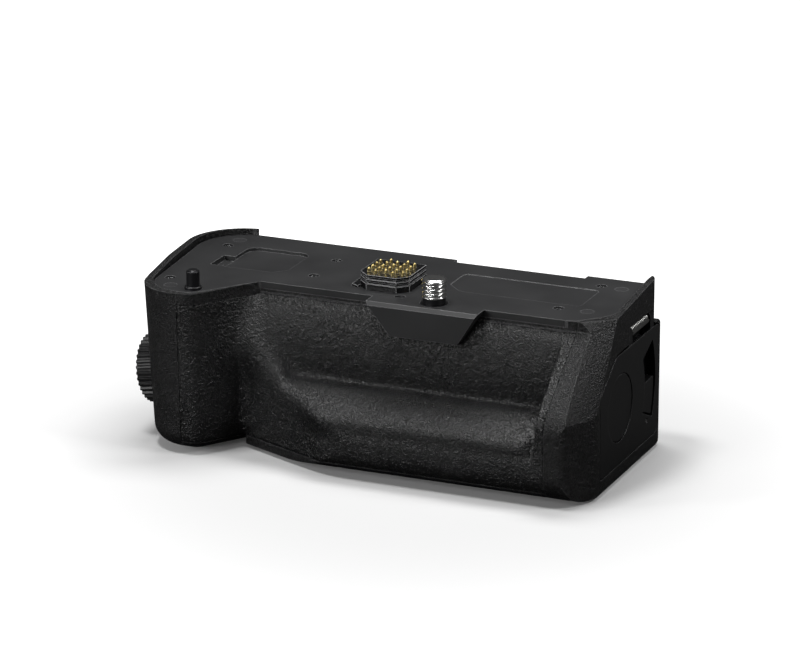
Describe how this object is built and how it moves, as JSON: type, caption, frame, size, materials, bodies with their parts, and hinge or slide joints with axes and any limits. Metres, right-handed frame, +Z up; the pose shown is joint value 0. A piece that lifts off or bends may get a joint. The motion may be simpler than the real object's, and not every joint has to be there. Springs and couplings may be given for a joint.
{
  "type": "camera battery grip",
  "caption": "Vertical grip that screws under a camera body: moulded housing with a finger pocket, sprung battery door, contact block, screw drive and control dials.",
  "frame": {"origin": "axis of the camera screw at the face on which the camera sits", "axes": "+X along the grip to the battery door, +Y to the rear of the camera, +Z up into the camera"},
  "size_m": [0.1276, 0.0616, 0.0501],
  "materials": {
    "case_plastic": "finely textured black polycarbonate",
    "plate_plastic": "smooth dark grey moulded plate",
    "grip_rubber": "black rubber with a pebbled leather grain",
    "bay_plastic": "plain black moulded plastic",
    "gold_contact": "gold-plated contact metal",
    "door_plastic": "finely textured black door skin",
    "seal_foam": "soft black gasket foam",
    "bright_steel": "bright turned steel",
    "dark_steel": "blackened steel",
    "spring_steel": "plain spring wire",
    "gear_metal": "cut brass gear",
    "control_plastic": "black ribbed or domed control plastic",
    "gloss_black": "polished black plastic",
    "terminal_plastic": "black glass-filled connector plastic",
    "pad_plastic": "grey slightly lighter pads",
    "board": "green circuit board laminate",
    "foot_rubber": "black rubber feet"
  },
  "bodies": {
    "case": {"front_shell": "case_plastic", "rear_shell": "case_plastic", "control_pod": "case_plastic", "door_frame": "case_plastic", "camera_plate": "plate_plastic", "base_cover": "case_plastic", "front_grip_rubber": "grip_rubber", "rear_grip_rubber": "grip_rubber", "battery_bay": "bay_plastic", "battery_contacts": "gold_contact", "door_seal": "seal_foam", "hinge_pin": "bright_steel", "hinge_spring": "spring_steel", "screw_collar": "dark_steel", "gear_frame": "dark_steel", "axle_clips": "bright_steel", "terminal_block": "terminal_plastic", "guide_pin": "dark_steel", "plate_screws": "dark_steel", "plate_pads": "pad_plastic", "base_screws": "dark_steel", "tripod_socket": "bright_steel", "rubber_feet": "foot_rubber", "dial_post": "control_plastic", "rear_dial_axle": "bright_steel", "stick_bezel": "control_plastic", "circuit_board": "board"},
    "door": {"battery_door": "door_plastic", "door_inner_plate": "dark_steel", "door_stop_pin": "bright_steel"},
    "latch": {"latch_lever": "door_plastic"},
    "catch": {"battery_catch": "control_plastic"},
    "wheel": {"thumb_wheel": "dark_steel"},
    "idler": {"idler_gear": "gear_metal"},
    "screw": {"camera_screw": "bright_steel"},
    "pins": {"contact_pins": "gold_contact"},
    "dial_front": {"front_dial": "control_plastic"},
    "shutter": {"shutter_button": "gloss_black"},
    "dial_rear": {"rear_dial": "control_plastic"},
    "button_upper": {"side_button_1": "gloss_black"},
    "button_middle": {"side_button_2": "gloss_black"},
    "button_lower": {"side_button_3": "gloss_black"},
    "lock_button": {"exposure_lock_button": "gloss_black"},
    "stick_tilt": {"stick_ring": "control_plastic"},
    "stick": {"focus_stick": "control_plastic", "stick_stem": "dark_steel"},
    "switch": {"control_switch": "control_plastic"}
  },
  "joints": [
    {"name": "door_hinge", "type": "hinge", "parent": "case", "child": "door", "pos_m": [0.0448, 0.024, -0.0072], "axis": [0, -1, 0], "range_deg": [0, 95]},
    {"name": "latch_turn", "type": "hinge", "parent": "door", "child": "latch", "pos_m": [0.0458, 0.0086, -0.0241], "axis": [1, 0, 0], "range_deg": [0, 22], "stiffness_Nm_per_rad": 0.02},
    {"name": "catch_slide", "type": "slide", "parent": "case", "child": "catch", "axis": [0, 0, 1], "range_m": [0, 0.0016], "stiffness_N_per_m": 300},
    {"name": "wheel_turn", "type": "hinge", "parent": "case", "child": "wheel", "pos_m": [0.0094, 0.02563, -0.004], "axis": [0, 0, 1], "continuous": true},
    {"name": "idler_turn", "type": "hinge", "parent": "case", "child": "idler", "pos_m": [0.00436, 0.0119, -0.0065], "axis": [0, 0, 1], "continuous": true},
    {"name": "screw_turn", "type": "hinge", "parent": "case", "child": "screw", "pos_m": [0, 0, 0], "axis": [0, 0, 1], "continuous": true},
    {"name": "pins_press", "type": "slide", "parent": "case", "child": "pins", "axis": [0, 0, -1], "range_m": [0, 0.0008], "stiffness_N_per_m": 2000},
    {"name": "front_dial_turn", "type": "hinge", "parent": "case", "child": "dial_front", "pos_m": [-0.0794, 0.001, -0.0276], "axis": [0.9877, 0, 0.1564], "continuous": true},
    {"name": "shutter_press", "type": "slide", "parent": "case", "child": "shutter", "axis": [0.9877, 0, 0.1564], "range_m": [0, 0.0009], "stiffness_N_per_m": 300},
    {"name": "rear_dial_turn", "type": "hinge", "parent": "case", "child": "dial_rear", "pos_m": [-0.0685, 0.0326, -0.024], "axis": [1, 0, 0], "continuous": true},
    {"name": "upper_button_press", "type": "slide", "parent": "case", "child": "button_upper", "axis": [1, 0, 0], "range_m": [0, 0.0005], "stiffness_N_per_m": 300},
    {"name": "middle_button_press", "type": "slide", "parent": "case", "child": "button_middle", "axis": [1, 0, 0], "range_m": [0, 0.0005], "stiffness_N_per_m": 300},
    {"name": "lower_button_press", "type": "slide", "parent": "case", "child": "button_lower", "axis": [1, 0, 0], "range_m": [0, 0.0005], "stiffness_N_per_m": 300},
    {"name": "lock_button_press", "type": "slide", "parent": "case", "child": "lock_button", "axis": [0, -1, 0], "range_m": [0, 0.0005], "stiffness_N_per_m": 300},
    {"name": "stick_nod", "type": "hinge", "parent": "case", "child": "stick_tilt", "pos_m": [-0.057, 0.0384, -0.025], "axis": [1, 0, 0], "range_deg": [-6, 6], "stiffness_Nm_per_rad": 0.02},
    {"name": "stick_swing", "type": "hinge", "parent": "stick_tilt", "child": "stick", "pos_m": [-0.057, 0.0384, -0.025], "axis": [0, 0, 1], "range_deg": [-6, 6], "stiffness_Nm_per_rad": 0.02},
    {"name": "switch_turn", "type": "hinge", "parent": "case", "child": "switch", "pos_m": [-0.057, 0.041, -0.0138], "axis": [0, 1, 0], "range_deg": [0, 35]}
  ],
  "couplings": [
    {"joint": "idler_turn", "follows": "wheel_turn", "ratio": -0.66667},
    {"joint": "screw_turn", "follows": "wheel_turn", "ratio": 1.5}
  ]
}
